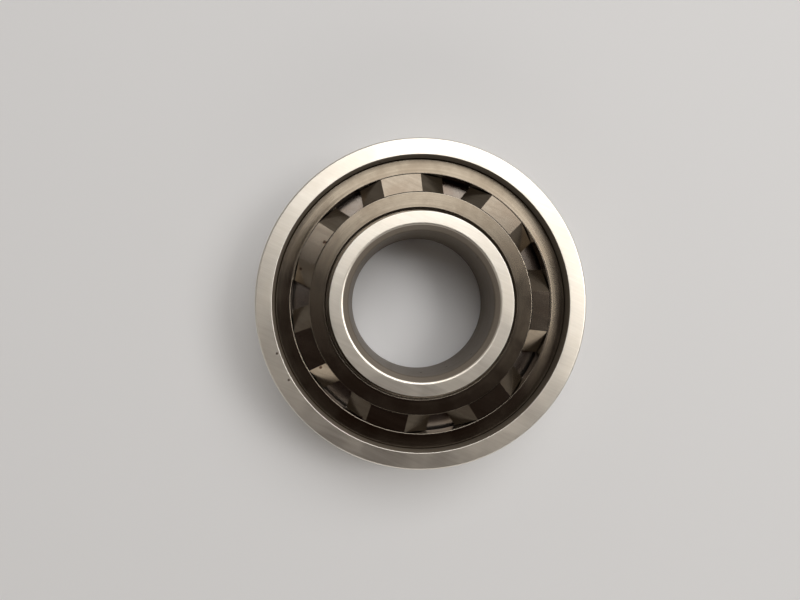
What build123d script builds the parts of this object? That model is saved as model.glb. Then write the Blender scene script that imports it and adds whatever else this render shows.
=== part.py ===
from build123d import *
import math
import os

# Single-row cylindrical roller bearing, millimetres.
# The axis is +Z and the origin is the centre of the lower side face.
# Both side faces look the same: each ring is a plain sleeve that carries a pressed rib ring at each
# end, and short rollers run between the ribs, kept apart by loose trapezoidal separators.

# Rings
BORE_D = 25.4
WIDTH = 15.875
INNER_WALL = 3.28            # inner ring, bore to raceway
OUTER_WALL = 2.965           # outer ring, raceway to outside
BORE_CHAMFER_RADIAL = 1.0
BORE_CHAMFER_AXIAL = 0.9
OUTSIDE_FILLET = 0.3
EDGE_BREAK = 0.12

# Rollers
ROLLER_COUNT = 7
ROLLER_D = 9.6
ROLLER_FILLET = 0.35
END_RECESS_D = 7.2           # hollow turned in each roller end, inside its guiding land
END_RECESS_DEPTH = 1.4
RACE_PLAY = 0.015            # radial, between a roller and each raceway
END_PLAY = 0.03              # axial, between a roller and each rib

# Rib rings
RIB_RECESS = 2.33            # side face down to the rib ring
RIB_WIDTH = 2.58             # axial
INNER_RIB_HEIGHT = 3.67      # radial, standing out of the inner raceway
OUTER_RIB_HEIGHT = 2.73      # radial, standing in from the outer raceway
RIB_LAND = 0.25              # flat beside the slot
RIB_DISH = 0.03              # depth of the shallow turned dish in the outer rib rings
RIB_CHAMFER = 0.3            # on the seated edge of the outer rib rings
RELIEF_WIDTH = 0.95          # groove beside the inner ring, in the inner rib rings
RELIEF_DEPTH = 1.5
SLOT_BREAK = 0.08

# Separators
HEAD_WIDTH_INNER = 6.8       # top of the head, at the inner rib
HEAD_WIDTH_OUTER = 7.1       # top of the head, at the outer rib
HEAD_LAND = 0.25             # upright edge at the foot of the sloping flank
ROLLER_SHOWING = 3.55        # roller end left open between two heads, on the pitch circle
HEAD_CLEARANCE = 0.08        # radial, between a head and each rib
HEAD_LIFT = 0.05             # axial, between a head and the roller ends
POCKET_CLEARANCE = 0.15      # between the waist and a roller
WAIST_EXTRA = 1.0            # waist beyond the head's top edge, each side
WAIST_RACE_GAP = 0.5         # radial, between the waist and each raceway
WAIST_RIB_GAP = 0.15         # axial, between the waist and each rib

bore_r = BORE_D / 2
inner_race_r = bore_r + INNER_WALL
roller_r = ROLLER_D / 2
pitch_r = inner_race_r + RACE_PLAY + roller_r
outer_race_r = pitch_r + roller_r + RACE_PLAY
outside_r = outer_race_r + OUTER_WALL
slot_inner_r = inner_race_r + INNER_RIB_HEIGHT
slot_outer_r = outer_race_r - OUTER_RIB_HEIGHT
middle_z = WIDTH / 2
rib_top_z = WIDTH - RIB_RECESS
rib_foot_z = rib_top_z - RIB_WIDTH
roller_length = 2 * (rib_foot_z - END_PLAY - middle_z)
roller_end_z = middle_z + roller_length / 2
half_step = math.pi / ROLLER_COUNT
roller_offset = pitch_r * math.sin(half_step)      # separator centre line to a roller's axis
roller_advance = pitch_r * math.cos(half_step)     # the same roller, along that centre line


def turned(points):
    """Solid of revolution about Z from a closed outline of (radius, z) points."""
    corners = [Vector(radius, 0, z) for radius, z in points]
    outline = make_face(Polyline(*corners, close=True))
    return revolve(outline, Axis.Z)


def outer_ring():
    """Plain sleeve with filleted outside corners and a through raceway."""
    sleeve = Cylinder(outside_r, WIDTH, align=(Align.CENTER, Align.CENTER, Align.MIN))
    rims = sleeve.edges().filter_by(GeomType.CIRCLE)
    sleeve = fillet(rims, OUTSIDE_FILLET)
    opening = turned([
        (0, 0),
        (outer_race_r + EDGE_BREAK, 0),
        (outer_race_r, EDGE_BREAK),
        (outer_race_r, WIDTH - EDGE_BREAK),
        (outer_race_r + EDGE_BREAK, WIDTH),
        (0, WIDTH),
    ])
    return sleeve - opening


def inner_ring():
    """Plain sleeve with chamfered bore mouths and a raceway outside."""
    return turned([
        (bore_r, BORE_CHAMFER_AXIAL),
        (bore_r + BORE_CHAMFER_RADIAL, 0),
        (inner_race_r - EDGE_BREAK, 0),
        (inner_race_r, EDGE_BREAK),
        (inner_race_r, WIDTH - EDGE_BREAK),
        (inner_race_r - EDGE_BREAK, WIDTH),
        (bore_r + BORE_CHAMFER_RADIAL, WIDTH),
        (bore_r, WIDTH - BORE_CHAMFER_AXIAL),
    ])


def outer_rib_ring():
    """Upper outer rib ring: a flat land at the slot, then a shallow turned dish."""
    dish_inner = slot_outer_r + RIB_LAND
    dish_outer = outer_race_r - RIB_CHAMFER
    lip = Polyline(
        Vector(dish_outer, 0, rib_top_z),
        Vector(outer_race_r, 0, rib_top_z - RIB_CHAMFER),
        Vector(outer_race_r, 0, rib_foot_z),
        Vector(slot_outer_r, 0, rib_foot_z),
        Vector(slot_outer_r, 0, rib_top_z - SLOT_BREAK),
        Vector(slot_outer_r + SLOT_BREAK, 0, rib_top_z),
        Vector(dish_inner, 0, rib_top_z),
    )
    dish = ThreePointArc(
        Vector(dish_inner, 0, rib_top_z),
        Vector((dish_inner + dish_outer) / 2, 0, rib_top_z - RIB_DISH),
        Vector(dish_outer, 0, rib_top_z),
    )
    return revolve(make_face([lip, dish]), Axis.Z)


def inner_rib_ring():
    """Upper inner rib ring: flat, with a relief groove beside the inner ring."""
    return turned([
        (inner_race_r, rib_foot_z),
        (slot_inner_r, rib_foot_z),
        (slot_inner_r, rib_top_z - SLOT_BREAK),
        (slot_inner_r - SLOT_BREAK, rib_top_z),
        (inner_race_r + RELIEF_WIDTH, rib_top_z),
        (inner_race_r + RELIEF_WIDTH, rib_top_z - RELIEF_DEPTH),
        (inner_race_r, rib_top_z - RELIEF_DEPTH),
    ])


def roller():
    """One roller at the pitch circle on +X: filleted rims, and a flat-bottomed hollow in each end."""
    blank = Cylinder(roller_r, roller_length)
    blank = fillet(blank.edges().filter_by(GeomType.CIRCLE), ROLLER_FILLET)
    hollow = Cylinder(END_RECESS_D / 2, 2 * END_RECESS_DEPTH)
    for end in (-1, 1):
        blank = blank - Pos(0, 0, end * roller_length / 2) * hollow
    return Pos(pitch_r, 0, middle_z) * blank


def tapered_outline(width_inner, width_outer, z):
    """Face across the slot on +X: one width at its inner rib and another at its outer rib."""
    reach_in = inner_race_r
    reach_out = outer_race_r
    slope = (width_outer - width_inner) / (slot_outer_r - slot_inner_r)
    half_in = (width_inner + slope * (reach_in - slot_inner_r)) / 2
    half_out = (width_outer + slope * (reach_out - slot_outer_r)) / 2
    corners = [
        Vector(reach_in, -half_in, z),
        Vector(reach_out, -half_out, z),
        Vector(reach_out, half_out, z),
        Vector(reach_in, half_in, z),
    ]
    return make_face(Polyline(*corners, close=True))


def annulus(inner_r, outer_r, bottom_z, top_z):
    """Flat ring between two radii and two heights."""
    return turned([
        (inner_r, bottom_z),
        (outer_r, bottom_z),
        (outer_r, top_z),
        (inner_r, top_z),
    ])


def separator_head():
    """Upper head on +X: a flat top between the ribs, with flanks that slope out over the rollers."""
    foot_z = roller_end_z + HEAD_LIFT
    land_z = foot_z + HEAD_LAND
    foot_half = roller_offset - ROLLER_SHOWING / 2 * math.cos(half_step)
    spread = 2 * foot_half - (HEAD_WIDTH_INNER + HEAD_WIDTH_OUTER) / 2
    top = tapered_outline(HEAD_WIDTH_INNER, HEAD_WIDTH_OUTER, rib_top_z)
    land = tapered_outline(HEAD_WIDTH_INNER + spread, HEAD_WIDTH_OUTER + spread, land_z)
    flanks = loft([land, top])
    plate = extrude(land, amount=HEAD_LAND, dir=(0, 0, -1))
    slot = annulus(slot_inner_r + HEAD_CLEARANCE, slot_outer_r - HEAD_CLEARANCE, foot_z, rib_top_z)
    return slot & (flanks + plate)


def waist_blank():
    """Middle of a separator before its pockets: full depth between the ribs, taller in the slot."""
    foot_z = roller_end_z + HEAD_LIFT
    shoulder_z = rib_foot_z - WAIST_RIB_GAP
    body = annulus(
        inner_race_r + WAIST_RACE_GAP,
        outer_race_r - WAIST_RACE_GAP,
        WIDTH - shoulder_z,
        shoulder_z,
    )
    neck = annulus(
        slot_inner_r + HEAD_CLEARANCE,
        slot_outer_r - HEAD_CLEARANCE,
        WIDTH - foot_z,
        foot_z,
    )
    width = (HEAD_WIDTH_INNER + HEAD_WIDTH_OUTER) / 2 + 2 * WAIST_EXTRA
    slab = Box(outer_race_r, width, WIDTH, align=(Align.MIN, Align.CENTER, Align.MIN))
    return (body + neck) & slab


def separator():
    """One separator on +X: a waist between two rollers and a head over their ends on each side."""
    waist = waist_blank()
    for side in (-1, 1):
        pocket = Cylinder(roller_r + POCKET_CLEARANCE, WIDTH)
        waist = waist - Pos(roller_advance, side * roller_offset, middle_z) * pocket
    head = separator_head()
    lower_head = mirror(head, about=Plane.XY.offset(middle_z))
    return waist + head + lower_head


def lowered(upper):
    """The lower twin of an upper rib ring, mirrored in the middle plane."""
    return mirror(upper, about=Plane.XY.offset(middle_z))


parts = {
    "outer_ring": outer_ring(),
    "inner_ring": inner_ring(),
    "outer_rib_ring_upper": outer_rib_ring(),
    "outer_rib_ring_lower": lowered(outer_rib_ring()),
    "inner_rib_ring_upper": inner_rib_ring(),
    "inner_rib_ring_lower": lowered(inner_rib_ring()),
}
step_deg = 360 / ROLLER_COUNT
for number in range(1, ROLLER_COUNT + 1):
    turn = (number - 1) * step_deg
    parts[f"roller_{number}"] = Rot(0, 0, turn) * roller()
    parts[f"separator_{number}"] = Rot(0, 0, turn + step_deg / 2) * separator()

os.makedirs("parts", exist_ok=True)
for name, solid in parts.items():
    export_step(solid, f"parts/{name}.step")
print("outside diameter", round(2 * outside_r, 3), "roller length", round(roller_length, 3))
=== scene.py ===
import math

import bpy
import numpy as np
from mathutils import Matrix, Vector


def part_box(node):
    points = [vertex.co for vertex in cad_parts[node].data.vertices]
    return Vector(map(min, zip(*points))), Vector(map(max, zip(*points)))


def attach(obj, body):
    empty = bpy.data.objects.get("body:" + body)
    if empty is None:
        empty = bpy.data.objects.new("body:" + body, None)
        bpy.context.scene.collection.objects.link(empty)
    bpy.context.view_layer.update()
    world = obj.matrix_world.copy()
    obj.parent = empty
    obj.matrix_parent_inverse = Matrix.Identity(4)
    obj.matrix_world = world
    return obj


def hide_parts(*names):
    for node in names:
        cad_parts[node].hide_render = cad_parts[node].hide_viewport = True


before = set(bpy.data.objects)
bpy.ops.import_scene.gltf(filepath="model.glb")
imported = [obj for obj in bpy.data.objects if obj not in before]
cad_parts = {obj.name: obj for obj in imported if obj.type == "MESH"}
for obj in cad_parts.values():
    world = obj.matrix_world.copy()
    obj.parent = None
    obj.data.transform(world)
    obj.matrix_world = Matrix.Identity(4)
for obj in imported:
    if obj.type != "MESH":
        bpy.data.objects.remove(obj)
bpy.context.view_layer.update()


# ---- Outer ring -------------------------------------------------------------------------------
# A plain sleeve of through-hardened bearing steel. It is turned, hardened, and then its side faces
# are surface ground in straight strokes and its outside is ground round.

MM = 0.001
OUTSIDE_FILLET = 0.30 * MM
EDGE_BREAK = 0.12 * MM
LARGEST_WORN_ROUND = 0.5 * MM           # larger arcs are shapes, not rubbed edges
RING_SIDES = 288
ARC_STEPS = 6
FLAT_BESIDE_ROUND = 0.06 * MM           # most that an outline's extra point lies past a corner's arc
STAIN_AND_SHADE_WITHIN = 27.0                   # mm; walls nearer the axis than this get a dull brown varnish that is part old oil and part painted shade
STROKE_HEADING = math.radians(-47)      # direction of the straight grinding strokes on the side faces
STROKES_PER_MM = 5.0
STEEL_DARK = (0.66, 0.62, 0.55, 1)
STEEL_LIGHT = (0.76, 0.72, 0.65, 1)
STEEL_SOILED = (0.62, 0.56, 0.47, 1)
STEEL_RUBBED = (0.92, 0.90, 0.86, 1)
# Varnish colours: part old oil, part painted shade on the walls of the recess and the bore.
VARNISH_AND_SHADE_DARK = (0.085, 0.064, 0.044, 1)
VARNISH_AND_SHADE_LIGHT = (0.14, 0.11, 0.082, 1)
STEEL_PIT = (0.05, 0.03, 0.02, 1)


def reach(node):
    """Innermost and outermost radius about the axis, then lowest and highest height, of a CAD node."""
    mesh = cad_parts[node].data
    points = np.empty(len(mesh.vertices) * 3)
    mesh.vertices.foreach_get("co", points)
    points = points.reshape(-1, 3)
    radius = np.hypot(points[:, 0], points[:, 1])
    return radius.min(), radius.max(), points[:, 2].min(), points[:, 2].max()


def rounded(corners, radii):
    """Closed (radius, height) outline whose corners are arcs, with a wear value of 1 on each small arc.

    An arc's centre lies on the bisector of its corner, radius / sin(half angle) away, and the arc
    swings evenly between its two tangent points. One point is added on each side just beyond the
    tangent point, where the wear value is 0, so that the flats stay flat and the wear stays narrow."""
    corners = np.array(corners, float)
    radii = np.array(radii, float)[:, None]
    back = np.roll(corners, 1, axis=0) - corners
    ahead = np.roll(corners, -1, axis=0) - corners
    back /= np.linalg.norm(back, axis=1, keepdims=True)
    ahead /= np.linalg.norm(ahead, axis=1, keepdims=True)
    half = np.arccos(np.sum(back * ahead, axis=1, keepdims=True)) / 2
    tangent = radii / np.tan(half)
    bisector = (back + ahead) / np.linalg.norm(back + ahead, axis=1, keepdims=True)
    centre = corners + bisector * radii / np.sin(half)
    first = corners + back * tangent - centre
    last = corners + ahead * tangent - centre
    swing = (math.pi - 2 * half)[:, :, None]
    share = np.linspace(0, 1, ARC_STEPS + 1)[None, :, None]
    arc = np.sin((1 - share) * swing) * first[:, None] + np.sin(share * swing) * last[:, None]
    arc = centre[:, None] + arc / np.sin(swing)
    beyond = np.minimum(tangent * 0.35, FLAT_BESIDE_ROUND)
    before = (corners + back * (tangent + beyond))[:, None]
    after = (corners + ahead * (tangent + beyond))[:, None]
    outline = np.concatenate([before, arc, after], axis=1).reshape(-1, 2)
    rubbed = (radii < LARGEST_WORN_ROUND) * np.concatenate([[0.0], np.ones(ARC_STEPS + 1), [0.0]])
    return outline, rubbed.ravel()


def piece_from(name, vertices, faces, marks):
    """A smooth-shaded object from vertices, a list of faces and (radius, height, wear) marks.

    The marks are kept in millimetres as the attribute "turned"."""
    mesh = bpy.data.meshes.new(name)
    mesh.from_pydata(vertices.tolist(), [], faces)
    attribute = mesh.attributes.new("turned", "FLOAT_VECTOR", "POINT")
    attribute.data.foreach_set("vector", (marks / (MM, MM, 1)).ravel())
    mesh.shade_smooth()
    piece = bpy.data.objects.new(name, mesh)
    bpy.context.scene.collection.objects.link(piece)
    return piece


def turned(name, outline, worn):
    """Surface of revolution of a closed outline: (r, z) goes to (r cos a, r sin a, z) for a full turn."""
    count = len(outline)
    radius, height = outline.T
    angle = np.arange(RING_SIDES)[:, None] * (2 * math.pi / RING_SIDES)
    flat = np.zeros((RING_SIDES, 1))
    vertices = np.stack([np.cos(angle) * radius, np.sin(angle) * radius, flat + height], axis=-1)
    row, column = np.meshgrid(np.arange(RING_SIDES), np.arange(count), indexing="ij")
    next_row = (row + 1) % RING_SIDES
    next_column = (column + 1) % count
    corners = [(row, column), (next_row, column), (next_row, next_column), (row, next_column)]
    faces = np.stack([a * count + b for a, b in corners], axis=-1)
    marks = np.stack([flat + radius, flat + height, flat + worn], axis=-1)
    return piece_from(name, vertices.reshape(-1, 3), faces.reshape(-1, 4).tolist(), marks.reshape(-1, 3))


def add(tree, kind, inputs=None, **settings):
    """A new shader node. Each input is linked if its value is another node's socket, and set if not."""
    node = tree.nodes.new("ShaderNode" + kind)
    for name, value in settings.items():
        setattr(node, name, value)
    for name, value in (inputs or {}).items():
        if isinstance(value, bpy.types.NodeSocket):
            tree.links.new(value, node.inputs[name])
        else:
            node.inputs[name].default_value = value
    return node


def math_node(tree, operation, first, second=0.0, third=0.0):
    """Output of a Math node on up to three values."""
    return add(tree, "Math", {0: first, 1: second, 2: third}, operation=operation).outputs[0]


def ramp(tree, value, low, high, start=0.0, end=1.0):
    """Value mapped from low..high to start..end with a smooth step."""
    inputs = {"Value": value, "From Min": low, "From Max": high, "To Min": start, "To Max": end}
    return add(tree, "MapRange", inputs, interpolation_type="SMOOTHSTEP").outputs["Result"]


def product(tree, first, second):
    """Two values multiplied."""
    return math_node(tree, "MULTIPLY", first, second)


def blend_colours(tree, share, first, second):
    """Colour between two colours by a share of 0 to 1."""
    node = add(tree, "Mix", {0: share, 6: first, 7: second}, data_type="RGBA")
    return node.outputs[2]


def noise(tree, vector, scale, detail, roughness=0.55):
    """Value of a noise texture at a vector."""
    inputs = {"Vector": vector, "Scale": scale, "Detail": detail, "Roughness": roughness}
    return add(tree, "TexNoise", inputs).outputs[0]


def effect(name, inputs, outputs):
    """A shader node group with float or vector inputs and float outputs, and the sockets inside it."""
    group = bpy.data.node_groups.new(name, "ShaderNodeTree")
    for title, kind in inputs.items():
        group.interface.new_socket(title, in_out="INPUT", socket_type="NodeSocket" + kind)
    for title in outputs:
        group.interface.new_socket(title, in_out="OUTPUT", socket_type="NodeSocketFloat")
    return group, group.nodes.new("NodeGroupInput").outputs, group.nodes.new("NodeGroupOutput").inputs


def use(tree, group, inputs):
    """The outputs of a group placed in a material."""
    return add(tree, "Group", inputs, node_tree=group).outputs


def link_bump(tree, shader, height, strength, distance):
    """The shader's normal, raised and sunk by a height value."""
    bump = add(tree, "Bump", {"Height": height, "Strength": strength, "Distance": distance})
    tree.links.new(bump.outputs[0], shader.inputs["Normal"])


def metal(name):
    """A metal material: its tree and Principled shader, the place in millimetres and the turned marks."""
    material = bpy.data.materials.new(name)
    material.use_nodes = True
    tree = material.node_tree
    shader = tree.nodes["Principled BSDF"]
    shader.inputs["Metallic"].default_value = 1.0
    place = add(tree, "TexCoord").outputs["Object"]
    place = add(tree, "VectorMath", {0: place, "Scale": 1 / MM}, operation="SCALE").outputs[0]
    marks = add(tree, "Attribute", attribute_name="turned").outputs["Vector"]
    return material, tree, shader, place, marks


# Straight strokes: noise drawn out along one heading, half of it fine and half of it coarse.
strokes, given, made = effect("straight_strokes", {"Place": "Vector", "Across": "Float"}, ["Lines"])
turn = (0, 0, math.pi / 2 - STROKE_HEADING)
stretched = add(strokes, "Mapping", {"Vector": given["Place"], "Rotation": turn}).outputs[0]
fine = add(strokes, "VectorMath", {0: stretched, 1: (1.0, 0.03, 0.2)}, operation="MULTIPLY").outputs[0]
coarse = add(strokes, "VectorMath", {0: stretched, 1: (0.35, 0.02, 0.2)}, operation="MULTIPLY").outputs[0]
fine = noise(strokes, fine, given["Across"], detail=4.0, roughness=0.7)
coarse = noise(strokes, coarse, given["Across"], detail=2.0, roughness=0.6)
both = math_node(strokes, "MULTIPLY_ADD", coarse, 0.5, product(strokes, fine, 0.5))
strokes.links.new(both, made["Lines"])

# Turned lines: noise on radius and height alone, so that every line runs round the axis, fading in
# slow patches.
needs = {"Marks": "Vector", "Place": "Vector", "Across": "Float"}
lathe, given, made = effect("turned_lines", needs, ["Lines"])
section = add(lathe, "VectorMath", {0: given["Marks"], 1: (1.0, 1.0, 0.0)}, operation="MULTIPLY")
rings = noise(lathe, section.outputs[0], given["Across"], detail=4.0, roughness=0.65)
patchy = noise(lathe, given["Place"], scale=0.16, detail=2.0)
patchy = ramp(lathe, patchy, low=0.3, high=0.7, start=0.35)
centred = product(lathe, math_node(lathe, "SUBTRACT", rings, 0.5), patchy)
lathe.links.new(math_node(lathe, "ADD", centred, 0.5), made["Lines"])

# Pits: a small round spot in a few of the cells of a Voronoi pattern, chosen by the cell's own colour.
needs = {"Place": "Vector", "Cells": "Float", "Size": "Float", "Share": "Float"}
pitting, given, made = effect("pits", needs, ["Pits"])
warp = noise(pitting, given["Place"], scale=1.7, detail=2.0)
cells = add(pitting, "TexVoronoi", {"Vector": given["Place"], "Scale": given["Cells"]})
chosen = add(pitting, "SeparateColor", {0: cells.outputs["Color"]}).outputs[0]
chosen = math_node(pitting, "LESS_THAN", chosen, given["Share"])
edge = product(pitting, given["Size"], math_node(pitting, "MULTIPLY_ADD", warp, 1.4, 0.3))
spot = math_node(pitting, "SUBTRACT", 1.0, math_node(pitting, "DIVIDE", cells.outputs["Distance"], edge))
spot = ramp(pitting, spot, low=0.0, high=0.6)
pitting.links.new(product(pitting, spot, chosen), made["Pits"])

# Film: soft clouds of oil and handling, and a finer speckle.
film, given, made = effect("oil_film", {"Place": "Vector", "Size": "Float"}, ["Clouds", "Specks"])
clouds = noise(film, given["Place"], given["Size"], detail=4.0, roughness=0.6)
film.links.new(ramp(film, clouds, low=0.36, high=0.66), made["Clouds"])
film.links.new(noise(film, given["Place"], scale=3.1, detail=5.0, roughness=0.7), made["Specks"])


def ground_steel():
    """Ring steel: bright and slightly warm, straight strokes on the side faces and round ones elsewhere.

    The walls that face the slot and the bore carry a dull brown varnish over the metal: part old oil, part
    painted shade of the recess walls and the bore."""
    material, tree, shader, place, marks = metal("ground_ring_steel")
    straight = use(tree, strokes, {"Place": place, "Across": STROKES_PER_MM})["Lines"]
    around = use(tree, lathe, {"Marks": marks, "Place": place, "Across": STROKES_PER_MM})["Lines"]
    upright = add(tree, "SeparateXYZ", {0: add(tree, "NewGeometry").outputs["Normal"]}).outputs["Z"]
    upright = math_node(tree, "ABSOLUTE", upright)
    facing = ramp(tree, upright, low=0.9, high=0.99)
    lines = add(tree, "Mix", {0: facing, 2: around, 3: straight}).outputs[0]
    soil = use(tree, film, {"Place": place, "Size": 0.12})
    pits = use(tree, pitting, {"Place": place, "Cells": 0.42, "Size": 0.13, "Share": 0.12})["Pits"]
    parts = add(tree, "SeparateXYZ", {0: marks}).outputs
    # Painted shade: walls within this radius, the recess walls and the bore, turn to a dark brown varnish
    # of old oil and shade.
    inside = math_node(tree, "LESS_THAN", parts["X"], STAIN_AND_SHADE_WITHIN)
    wall = ramp(tree, upright, low=0.75, high=0.93, start=1.0, end=0.0)
    stain_and_shade = product(tree, inside, wall)
    stain_and_shade = product(tree, stain_and_shade, ramp(tree, lines, low=0.3, high=0.7, start=0.96, end=0.82))
    colour = blend_colours(tree, ramp(tree, lines, low=0.25, high=0.75), STEEL_DARK, STEEL_LIGHT)
    colour = blend_colours(tree, product(tree, soil["Clouds"], 0.3), colour, STEEL_SOILED)
    colour = blend_colours(tree, product(tree, parts["Z"], 0.4), colour, STEEL_RUBBED)
    varnish_and_shade = blend_colours(tree, soil["Specks"], VARNISH_AND_SHADE_DARK, VARNISH_AND_SHADE_LIGHT)
    # The walls take the varnish colour here, old oil and painted shade together.
    colour = blend_colours(tree, stain_and_shade, colour, varnish_and_shade)
    colour = blend_colours(tree, pits, colour, STEEL_PIT)
    tree.links.new(colour, shader.inputs["Base Color"])
    tree.links.new(math_node(tree, "SUBTRACT", 1.0, stain_and_shade), shader.inputs["Metallic"])
    rough = math_node(tree, "MULTIPLY_ADD", lines, 0.10, 0.25)
    rough = math_node(tree, "MULTIPLY_ADD", soil["Clouds"], 0.05, rough)
    rough = math_node(tree, "MULTIPLY_ADD", pits, 0.3, rough)
    rough = math_node(tree, "MULTIPLY_ADD", stain_and_shade, 0.35, rough)
    tree.links.new(rough, shader.inputs["Roughness"])
    depth = math_node(tree, "SUBTRACT", lines, pits)
    link_bump(tree, shader, depth, strength=0.3, distance=0.02 * MM)
    across = STROKE_HEADING + math.pi / 2
    smear = add(tree, "VectorTransform", {0: (math.cos(across), math.sin(across), 0)}, vector_type="VECTOR")
    tree.links.new(smear.outputs[0], shader.inputs["Tangent"])
    shader.inputs["Anisotropic"].default_value = 0.5
    return material


race_outer, outside, base, top = reach("outer_ring")
outer_ring = turned("outer_ring_sleeve", *rounded(
    [(race_outer, base), (outside, base), (outside, top), (race_outer, top)],
    [EDGE_BREAK, OUTSIDE_FILLET, OUTSIDE_FILLET, EDGE_BREAK],
))
ring_steel = ground_steel()
outer_ring.data.materials.append(ring_steel)
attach(outer_ring, "outer_ring")
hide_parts("outer_ring")


# ---- Inner ring -------------------------------------------------------------------------------
# The same steel and the same grinding. Its bore is ground to seat on a shaft, and the bore's mouths
# have a turned chamfer that hardening and tumbling have left rounded.

CHAMFER_RADIAL = 1.0 * MM
CHAMFER_AXIAL = 0.9 * MM
CHAMFER_ROUND = 0.7 * MM

bore, race_inner, _, _ = reach("inner_ring")
mouth = bore + CHAMFER_RADIAL
inner_ring = turned("inner_ring_sleeve", *rounded(
    [
        (mouth, base),
        (race_inner, base),
        (race_inner, top),
        (mouth, top),
        (bore, top - CHAMFER_AXIAL),
        (bore, base + CHAMFER_AXIAL),
    ],
    [CHAMFER_ROUND, EDGE_BREAK, EDGE_BREAK, CHAMFER_ROUND, CHAMFER_ROUND, CHAMFER_ROUND],
))
inner_ring.data.materials.append(ring_steel)
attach(inner_ring, "inner_ring")
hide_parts("inner_ring")


# ---- Outer rib rings --------------------------------------------------------------------------
# Two separate steel ribs, left as turned and browned in oil, pressed into the outer ring one from
# each side. The face has a flat land at the slot and a shallow turned dish behind it.

SLOT_BREAK = 0.08 * MM
RIB_LAND = 0.25 * MM
RIB_DISH = 0.03 * MM
RIB_CHAMFER = 0.30 * MM
DISH_ROUND = 15.0 * MM
RIB_LINES_PER_MM = 2.2
RIB_DARK = (0.175, 0.149, 0.116, 1)
RIB_LIGHT = (0.235, 0.201, 0.158, 1)
RIB_SOILED = (0.155, 0.122, 0.088, 1)
RIB_RUBBED = (0.60, 0.55, 0.48, 1)
RIB_NICK = (0.04, 0.025, 0.018, 1)


def mirrored(corners):
    """The outline of the lower twin: heights mirrored in the middle plane and the order reversed."""
    return [(radius, base + top - height) for radius, height in reversed(corners)]


def browned_steel():
    """Rib steel: a brown oiled skin with round tool marks, thin at the edges and nicked in places."""
    material, tree, shader, place, marks = metal("browned_rib_steel")
    lines = use(tree, lathe, {"Marks": marks, "Place": place, "Across": RIB_LINES_PER_MM})["Lines"]
    soil = use(tree, film, {"Place": place, "Size": 0.2})
    nicks = use(tree, pitting, {"Place": place, "Cells": 0.3, "Size": 0.1, "Share": 0.16})["Pits"]
    worn = add(tree, "SeparateXYZ", {0: marks}).outputs["Z"]
    bare = product(tree, worn, ramp(tree, soil["Specks"], low=0.35, high=0.7, start=0.25, end=0.6))
    colour = blend_colours(tree, ramp(tree, lines, low=0.35, high=0.65), RIB_DARK, RIB_LIGHT)
    colour = blend_colours(tree, product(tree, soil["Clouds"], 0.45), colour, RIB_SOILED)
    colour = blend_colours(tree, bare, colour, RIB_RUBBED)
    colour = blend_colours(tree, nicks, colour, RIB_NICK)
    tree.links.new(colour, shader.inputs["Base Color"])
    rough = math_node(tree, "MULTIPLY_ADD", lines, 0.06, 0.15)
    rough = math_node(tree, "MULTIPLY_ADD", soil["Clouds"], 0.05, rough)
    rough = math_node(tree, "MULTIPLY_ADD", soil["Specks"], 0.012, rough)
    tree.links.new(rough, shader.inputs["Roughness"])
    depth = math_node(tree, "SUBTRACT", lines, nicks)
    link_bump(tree, shader, depth, strength=0.05, distance=0.015 * MM)
    return material


slot_outer, _, rib_foot, rib_top = reach("outer_rib_ring_upper")
dish_inner = slot_outer + RIB_LAND
dish_outer = race_outer - RIB_CHAMFER
dish_middle = (dish_inner + dish_outer) / 2
meeting = rib_top - 2 * RIB_DISH        # the end tangents of the CAD's dish meet twice as deep as it
outer_rib = [
    (slot_outer, rib_foot),
    (race_outer, rib_foot),
    (race_outer, rib_top - RIB_CHAMFER),
    (dish_outer, rib_top),
    (dish_middle, meeting),
    (dish_inner, rib_top),
    (slot_outer, rib_top),
]
outer_rib_rounds = [SLOT_BREAK, EDGE_BREAK, EDGE_BREAK, SLOT_BREAK, DISH_ROUND, SLOT_BREAK, SLOT_BREAK]
rib_steel = browned_steel()


def rib_ring(name, corners, rounds, body):
    """One rib ring, finished, riding on the ring that it is pressed to."""
    ring = turned(name + "_turned", *rounded(corners, rounds))
    ring.data.materials.append(rib_steel)
    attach(ring, body)
    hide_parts(name)


rib_ring("outer_rib_ring_upper", outer_rib, outer_rib_rounds, "outer_ring")
rib_ring("outer_rib_ring_lower", mirrored(outer_rib), outer_rib_rounds[::-1], "outer_ring")


# ---- Inner rib rings --------------------------------------------------------------------------
# Two more of the same browned steel, pressed over the inner ring. Each is flat, with a relief groove
# turned beside the inner ring that shows as a thin dark line.

RELIEF_WIDTH = 0.95 * MM
RELIEF_DEPTH = 1.5 * MM

slot_inner = reach("inner_rib_ring_upper")[1]
relief = race_inner + RELIEF_WIDTH
inner_rib = [
    (race_inner, rib_foot),
    (slot_inner, rib_foot),
    (slot_inner, rib_top),
    (relief, rib_top),
    (relief, rib_top - RELIEF_DEPTH),
    (race_inner, rib_top - RELIEF_DEPTH),
]
inner_rib_rounds = [EDGE_BREAK, EDGE_BREAK, SLOT_BREAK, SLOT_BREAK, SLOT_BREAK, SLOT_BREAK]
rib_ring("inner_rib_ring_upper", inner_rib, inner_rib_rounds, "inner_ring")
rib_ring("inner_rib_ring_lower", mirrored(inner_rib), inner_rib_rounds[::-1], "inner_ring")


# ---- Rollers ----------------------------------------------------------------------------------
# Seven short rollers of bearing steel, ground round, with a hollow turned in each end inside the land
# that the ribs guide. They run loose between the raceways.

ROLLER_FILLET = 0.35 * MM
END_RECESS_D = 7.2 * MM
END_RECESS_DEPTH = 1.4 * MM
RECESS_ROUND = 0.2 * MM
ROLLER_SIDES = 96
LAPPING_LINES_PER_MM = 6.0
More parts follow.
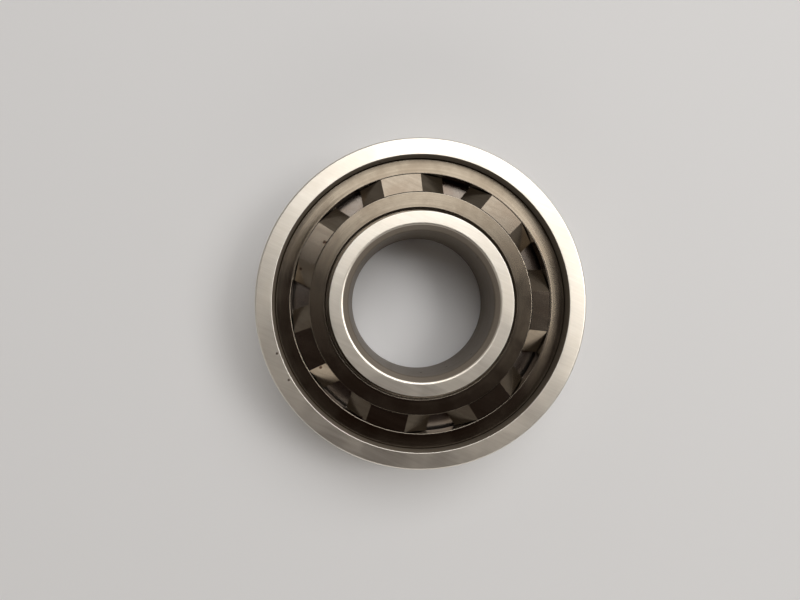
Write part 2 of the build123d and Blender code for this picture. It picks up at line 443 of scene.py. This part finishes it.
# Dark roller colours: part old oil, part painted shade of the rollers deep in their pockets between the
# ribs.
ROLLER_DARK_OIL_AND_SHADE = (0.17, 0.148, 0.13, 1)
ROLLER_LIGHT_OIL_AND_SHADE = (0.23, 0.205, 0.182, 1)
ROLLER_SOILED = (0.17, 0.128, 0.098, 1)
ROLLER_RUBBED = (0.50, 0.46, 0.41, 1)


def lapped_roller(name, centre, radius, low, high):
    """A roller about its own upright axis: (r, z) goes to (r cos a, r sin a, z) from pole to pole.

    The floor of each end hollow is closed by triangles that fan out from its pole."""
    hollow = END_RECESS_D / 2
    lower_floor, upper_floor = low + END_RECESS_DEPTH, high - END_RECESS_DEPTH
    profile = {
        (0, lower_floor): EDGE_BREAK,
        (hollow, lower_floor): RECESS_ROUND,
        (hollow, low): EDGE_BREAK,
        (radius, low): ROLLER_FILLET,
        (radius, high): ROLLER_FILLET,
        (hollow, high): EDGE_BREAK,
        (hollow, upper_floor): RECESS_ROUND,
        (0, upper_floor): EDGE_BREAK,
    }
    outline, worn = rounded(list(profile), list(profile.values()))
    each = len(outline) // len(profile)
    outline, worn = outline[each:-each], worn[each:-each]
    across, height = outline.T
    count = len(outline)
    angle = np.arange(ROLLER_SIDES)[:, None] * (2 * math.pi / ROLLER_SIDES)
    flat = np.zeros((ROLLER_SIDES, 1))
    spread_x = centre[0] + np.cos(angle) * across
    spread_y = centre[1] + np.sin(angle) * across
    wall = np.stack([spread_x, spread_y, flat + height], axis=-1).reshape(-1, 3)
    poles = [(*centre, height[0]), (*centre, height[-1])]
    row, column = np.meshgrid(np.arange(ROLLER_SIDES), np.arange(count - 1), indexing="ij")
    next_row = (row + 1) % ROLLER_SIDES
    quad = [(row, column), (next_row, column), (next_row, column + 1), (row, column + 1)]
    quads = np.stack([a * count + b for a, b in quad], axis=-1).reshape(-1, 4)
    first = row[:, 0] * count
    following = next_row[:, 0] * count
    pole = np.full(ROLLER_SIDES, len(wall))
    lower_fan = np.stack([pole, following, first], axis=-1)
    upper_fan = np.stack([pole + 1, first + count - 1, following + count - 1], axis=-1)
    faces = quads.tolist() + lower_fan.tolist() + upper_fan.tolist()
    marks = np.stack([flat + across, flat + height, flat + worn], axis=-1).reshape(-1, 3)
    marks = np.concatenate([marks, [(0, height[0], 0), (0, height[-1], 0)]])
    return piece_from(name, np.concatenate([wall, poles]), faces, marks)


def lapped_steel():
    """Roller steel: smooth, with faint round lapping lines and a dark base that is part tint of old oil and
    part painted shade of the pockets.
    """
    material, tree, shader, place, marks = metal("lapped_roller_steel")
    lines = use(tree, lathe, {"Marks": marks, "Place": place, "Across": LAPPING_LINES_PER_MM})["Lines"]
    soil = use(tree, film, {"Place": place, "Size": 0.3})
    worn = add(tree, "SeparateXYZ", {0: marks}).outputs["Z"]
    # The dark base here carries old oil and painted shade together.
    colour = blend_colours(tree, ramp(tree, lines, low=0.3, high=0.7), ROLLER_DARK_OIL_AND_SHADE, ROLLER_LIGHT_OIL_AND_SHADE)
    colour = blend_colours(tree, product(tree, soil["Clouds"], 0.5), colour, ROLLER_SOILED)
    colour = blend_colours(tree, product(tree, worn, 0.4), colour, ROLLER_RUBBED)
    tree.links.new(colour, shader.inputs["Base Color"])
    rough = math_node(tree, "MULTIPLY_ADD", lines, 0.08, 0.16)
    rough = math_node(tree, "MULTIPLY_ADD", soil["Specks"], 0.08, rough)
    tree.links.new(rough, shader.inputs["Roughness"])
    link_bump(tree, shader, lines, strength=0.15, distance=0.01 * MM)
    return material


roller_steel = lapped_steel()
rollers = [name for name in sorted(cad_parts) if name.startswith("roller_")]
for name in rollers:
    low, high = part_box(name)
    centre = ((low[0] + high[0]) / 2, (low[1] + high[1]) / 2)
    radius = (high[0] - low[0]) / 2
    roller = lapped_roller(name + "_lapped", centre, radius, low[2], high[2])
    roller.data.materials.append(roller_steel)
    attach(roller, name)
    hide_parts(name)


# ---- Separators -------------------------------------------------------------------------------
# Seven loose blocks, cast and milled, that keep the rollers apart. A trapezoidal head lies flush
# between the ribs on each side, its flanks sloping out over the rollers, and a hollowed waist joins them.

HEAD_WIDTH_INNER = 6.8 * MM
HEAD_WIDTH_OUTER = 7.1 * MM
HEAD_LAND = 0.25 * MM
ROLLER_SHOWING = 3.55 * MM
HEAD_CLEARANCE = 0.08 * MM
HEAD_LIFT = 0.05 * MM
POCKET_CLEARANCE = 0.15 * MM
WAIST_EXTRA = 1.0 * MM
WAIST_RACE_GAP = 0.5 * MM
WAIST_RIB_GAP = 0.15 * MM
NECK_INSET = 0.35 * MM
BLOCK_EDGE = 0.07 * MM
SHARPER_THAN = math.radians(24)         # edges that turn more than this are broken
ROWS = 13                               # points from the inner to the outer arc, in each level
COLUMNS = 15                            # and from one side to the other
SETTLING_ROUNDS = 40
CUTS_PER_MM = 1.6
BLOCK_DARK = (0.19, 0.162, 0.129, 1)
BLOCK_LIGHT = (0.25, 0.216, 0.174, 1)
BLOCK_SOILED = (0.16, 0.122, 0.09, 1)
BLOCK_DENT = (0.06, 0.035, 0.022, 1)

roller_low, roller_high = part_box("roller_1")
pitch = (roller_low[0] + roller_high[0]) / 2
roller_radius = (roller_high[0] - roller_low[0]) / 2
half_step = math.pi / len(rollers)
offset = pitch * math.sin(half_step)
advance = pitch * math.cos(half_step)
foot = roller_high[2] + HEAD_LIFT
land = foot + HEAD_LAND
shoulder = rib_foot - WAIST_RIB_GAP
foot_half = offset - ROLLER_SHOWING / 2 * math.cos(half_step)
spread = foot_half - (HEAD_WIDTH_INNER + HEAD_WIDTH_OUTER) / 4
taper = (HEAD_WIDTH_OUTER - HEAD_WIDTH_INNER) / (slot_outer - slot_inner) / 2


def head_side(extra):
    """Half width of a head at a distance out along its centre line: a straight taper, plus an extra."""
    return lambda along: HEAD_WIDTH_INNER / 2 + taper * (along - slot_inner) + extra


def waist_side(inset):
    """Half width of the waist: its slab, or the wall of the round pocket where that is nearer."""
    slab = (HEAD_WIDTH_INNER + HEAD_WIDTH_OUTER) / 4 + WAIST_EXTRA
    pocket = roller_radius + POCKET_CLEARANCE

    def half_width(along):
        inside = np.maximum(pocket ** 2 - (along - advance) ** 2, 0)
        wall = np.where(inside > 0, offset - np.sqrt(inside), slab)
        return np.minimum(wall, slab) - inset
    return half_width


def layer(height, inner, outer, half_width):
    """One level of a block as a grid of rows by columns.

    The side curve (along, half width) is cut where it meets the inner and the outer arc, which is
    found by repeating along = sqrt(radius^2 - half width^2) until it settles. Each row is an arc about
    the bearing's axis through one point of that curve, from one side to the other."""
    ends = np.array([inner, outer])
    along = ends.copy()
    for _ in range(SETTLING_ROUNDS):
        along = np.sqrt(ends ** 2 - half_width(along) ** 2)
    along = np.linspace(along[0], along[1], ROWS)
    half = half_width(along)
    radius = np.hypot(along, half)
    radius[0], radius[-1] = inner, outer
    angle = np.arctan2(half, along)[:, None] * np.linspace(-1, 1, COLUMNS)
    flat = np.full_like(angle, height)
    return np.stack([radius[:, None] * np.cos(angle), radius[:, None] * np.sin(angle), flat], axis=-1)


def upper_half():
    """Levels from the middle of a block up to its flat top."""
    slot_in, slot_out = slot_inner + HEAD_CLEARANCE, slot_outer - HEAD_CLEARANCE
    neck_in, neck_out = slot_in + NECK_INSET, slot_out - NECK_INSET
    body = (race_inner + WAIST_RACE_GAP, race_outer - WAIST_RACE_GAP, waist_side(0))
    neck = (neck_in, neck_out, waist_side(NECK_INSET))
    return [
        layer(shoulder, *body),
        layer(shoulder, *neck),
        layer(foot, *neck),
        layer(foot, slot_in, slot_out, head_side(spread)),
        layer(land, slot_in, slot_out, head_side(spread)),
        layer(rib_top, slot_in, slot_out, head_side(0)),
    ]


def block(name, turn):
    """A separator turned to its place: walls join the rims of successive levels, grids close the ends."""
    above = np.stack(upper_half())
    below = above[::-1] * (1, 1, -1) + (0, 0, base + top)
    levels = np.concatenate([below, above])
    index = np.arange(levels[..., 0].size).reshape(levels.shape[:3])
    sides = [index[:, :-1, 0], index[:, -1, :-1], index[:, :0:-1, -1], index[:, 0, :0:-1]]
    rim = np.concatenate(sides, axis=1)
    ahead = np.roll(rim, -1, axis=1)
    walls = np.stack([rim[:-1], ahead[:-1], ahead[1:], rim[1:]], axis=-1).reshape(-1, 4)
    grid = index[-1]
    roof = np.stack([grid[:-1, :-1], grid[1:, :-1], grid[1:, 1:], grid[:-1, 1:]], axis=-1).reshape(-1, 4)
    floor = roof[:, ::-1] - index[-1, 0, 0] + index[0, 0, 0]
    faces = np.concatenate([walls, roof, floor])
    used, faces = np.unique(faces, return_inverse=True)
    swing = np.array(Matrix.Rotation(turn, 3, "Z"))
    vertices = levels.reshape(-1, 3)[used] @ swing.T
    marks = np.stack([np.hypot(*vertices[:, :2].T), vertices[:, 2], np.zeros(len(vertices))], axis=-1)
    piece = piece_from(name, vertices, faces.reshape(-1, 4).tolist(), marks)
    edges = piece.modifiers.new("broken_edges", "BEVEL")
    edges.width = BLOCK_EDGE
    edges.segments = 3
    edges.angle_limit = SHARPER_THAN
    edges.harden_normals = True
    return piece


def milled_block():
    """Separator metal: browned and oiled, with faint milling strokes, a few dents and a dull film."""
    material, tree, shader, place, _ = metal("browned_separator")
    cuts = use(tree, strokes, {"Place": place, "Across": CUTS_PER_MM})["Lines"]
    soil = use(tree, film, {"Place": place, "Size": 0.26})
    dents = use(tree, pitting, {"Place": place, "Cells": 0.34, "Size": 0.14, "Share": 0.2})["Pits"]
    colour = blend_colours(tree, ramp(tree, cuts, low=0.35, high=0.65), BLOCK_DARK, BLOCK_LIGHT)
    colour = blend_colours(tree, product(tree, soil["Clouds"], 0.45), colour, BLOCK_SOILED)
    colour = blend_colours(tree, dents, colour, BLOCK_DENT)
    tree.links.new(colour, shader.inputs["Base Color"])
    rough = math_node(tree, "MULTIPLY_ADD", cuts, 0.06, 0.15)
    rough = math_node(tree, "MULTIPLY_ADD", soil["Specks"], 0.015, rough)
    tree.links.new(rough, shader.inputs["Roughness"])
    depth = math_node(tree, "SUBTRACT", product(tree, soil["Clouds"], 0.5), dents)
    link_bump(tree, shader, depth, strength=0.06, distance=0.03 * MM)
    return material


block_metal = milled_block()
for number in range(1, len(rollers) + 1):
    name = f"separator_{number}"
    piece = block(name + "_block", (2 * number - 1) * half_step)
    piece.data.materials.append(block_metal)
    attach(piece, "separator_set")
    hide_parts(name)


# ---- Floor, light and camera ------------------------------------------------------------------
# A plain pale paper floor under studio light: a large soft box beyond the top of the view, smaller
# ones at its right and left, a low one at its foot that fills the inner walls, and a dome that is
# dim and warm overhead and pale near the horizon.

FLOOR_RADIUS = 1.0
FLOOR_SIDES = 180
FLOOR_DROP = 0.02 * MM
FLOOR_COLOUR = (0.78, 0.79, 0.81, 1)
HORIZON_GLOW = (0.42, 0.40, 0.37, 1)
OVERHEAD_GLOW = (0.022, 0.009, 0.0045, 1)
LIGHT_DISTANCE = 0.9
VIEW_RIGHT = math.radians(-22.06)       # heading of the view's right-hand side about the axis
view_right = Vector((math.cos(VIEW_RIGHT), math.sin(VIEW_RIGHT), 0))
view_up = Vector((-math.sin(VIEW_RIGHT), math.cos(VIEW_RIGHT), 0))

around = np.arange(FLOOR_SIDES) * (2 * math.pi / FLOOR_SIDES)
across, along = np.cos(around) * FLOOR_RADIUS, np.sin(around) * FLOOR_RADIUS
rim = np.stack([across, along, np.full(FLOOR_SIDES, -FLOOR_DROP)], axis=-1)
floor_mesh = bpy.data.meshes.new("floor")
floor_mesh.from_pydata(rim.tolist(), [], [range(FLOOR_SIDES)])
floor = bpy.data.objects.new("floor", floor_mesh)
bpy.context.scene.collection.objects.link(floor)
paper = bpy.data.materials.new("pale_floor")
paper.use_nodes = True
matt = paper.node_tree.nodes["Principled BSDF"].inputs
matt["Base Color"].default_value = FLOOR_COLOUR
matt["Roughness"].default_value = 0.85
floor_mesh.materials.append(paper)

dome = bpy.data.worlds.new("dome")
dome.use_nodes = True
bpy.context.scene.world = dome
sky = dome.node_tree
heading = add(sky, "TexCoord").outputs["Generated"]
climb = add(sky, "SeparateXYZ", {0: heading}).outputs["Z"]
glow = blend_colours(sky, ramp(sky, climb, low=0.25, high=0.85), HORIZON_GLOW, OVERHEAD_GLOW)
sky.links.new(glow, sky.nodes["Background"].inputs["Color"])


def soft_box(name, right, up, wide, tall, radiance, colour):
    """An area light whose middle lies right and up of the zenith by two angles in degrees.

    It faces the bearing, and its power is radiance times pi times its area."""
    direction = view_right * math.tan(math.radians(right)) + view_up * math.tan(math.radians(up))
    direction = (direction + Vector((0, 0, 1))).normalized()
    light = bpy.data.lights.new(name, "AREA")
    light.shape = "RECTANGLE"
    light.size = wide
    light.size_y = tall
    light.energy = radiance * math.pi * wide * tall
    light.color = colour
    lamp = bpy.data.objects.new(name, light)
    across = view_up.cross(direction).normalized()
    turn = Matrix((across, direction.cross(across), direction)).transposed().to_4x4()
    lamp.matrix_world = Matrix.Translation(direction * LIGHT_DISTANCE) @ turn
    bpy.context.scene.collection.objects.link(lamp)


soft_box("window_box", right=15, up=27, wide=0.82, tall=0.60, radiance=2.9, colour=(1.0, 0.98, 0.95))
soft_box("right_box", right=36, up=5, wide=0.32, tall=0.32, radiance=5.4, colour=(1.0, 0.965, 0.92))
soft_box("left_box", right=-32, up=-12, wide=0.24, tall=0.34, radiance=0.9, colour=(1.0, 0.95, 0.86))
soft_box("low_box", right=6, up=-62, wide=0.80, tall=0.30, radiance=1.1, colour=(1.0, 0.94, 0.86))

CAMERA_HEIGHT = 97.0 * MM               # above the upper side face
CAMERA_PLACE = (-7.39 * MM, 0.42 * MM)
LOOKS_AT = (-3.83 * MM, 0.60 * MM)
LENS = 25.5
NEAREST_SEEN = 5.0 * MM
lens_data = bpy.data.cameras.new("camera")
lens_data.lens = LENS
lens_data.clip_start = NEAREST_SEEN
camera = bpy.data.objects.new("camera", lens_data)
bpy.context.scene.collection.objects.link(camera)
eye = view_right * CAMERA_PLACE[0] + view_up * CAMERA_PLACE[1] + Vector((0, 0, top + CAMERA_HEIGHT))
aim = view_right * LOOKS_AT[0] + view_up * LOOKS_AT[1] + Vector((0, 0, top))
back = (eye - aim).normalized()
across = view_up.cross(back).normalized()
turn = Matrix((across, back.cross(across), back)).transposed().to_4x4()
camera.matrix_world = Matrix.Translation(eye) @ turn
bpy.context.scene.camera = camera
bpy.context.scene.view_settings.view_transform = "Standard"
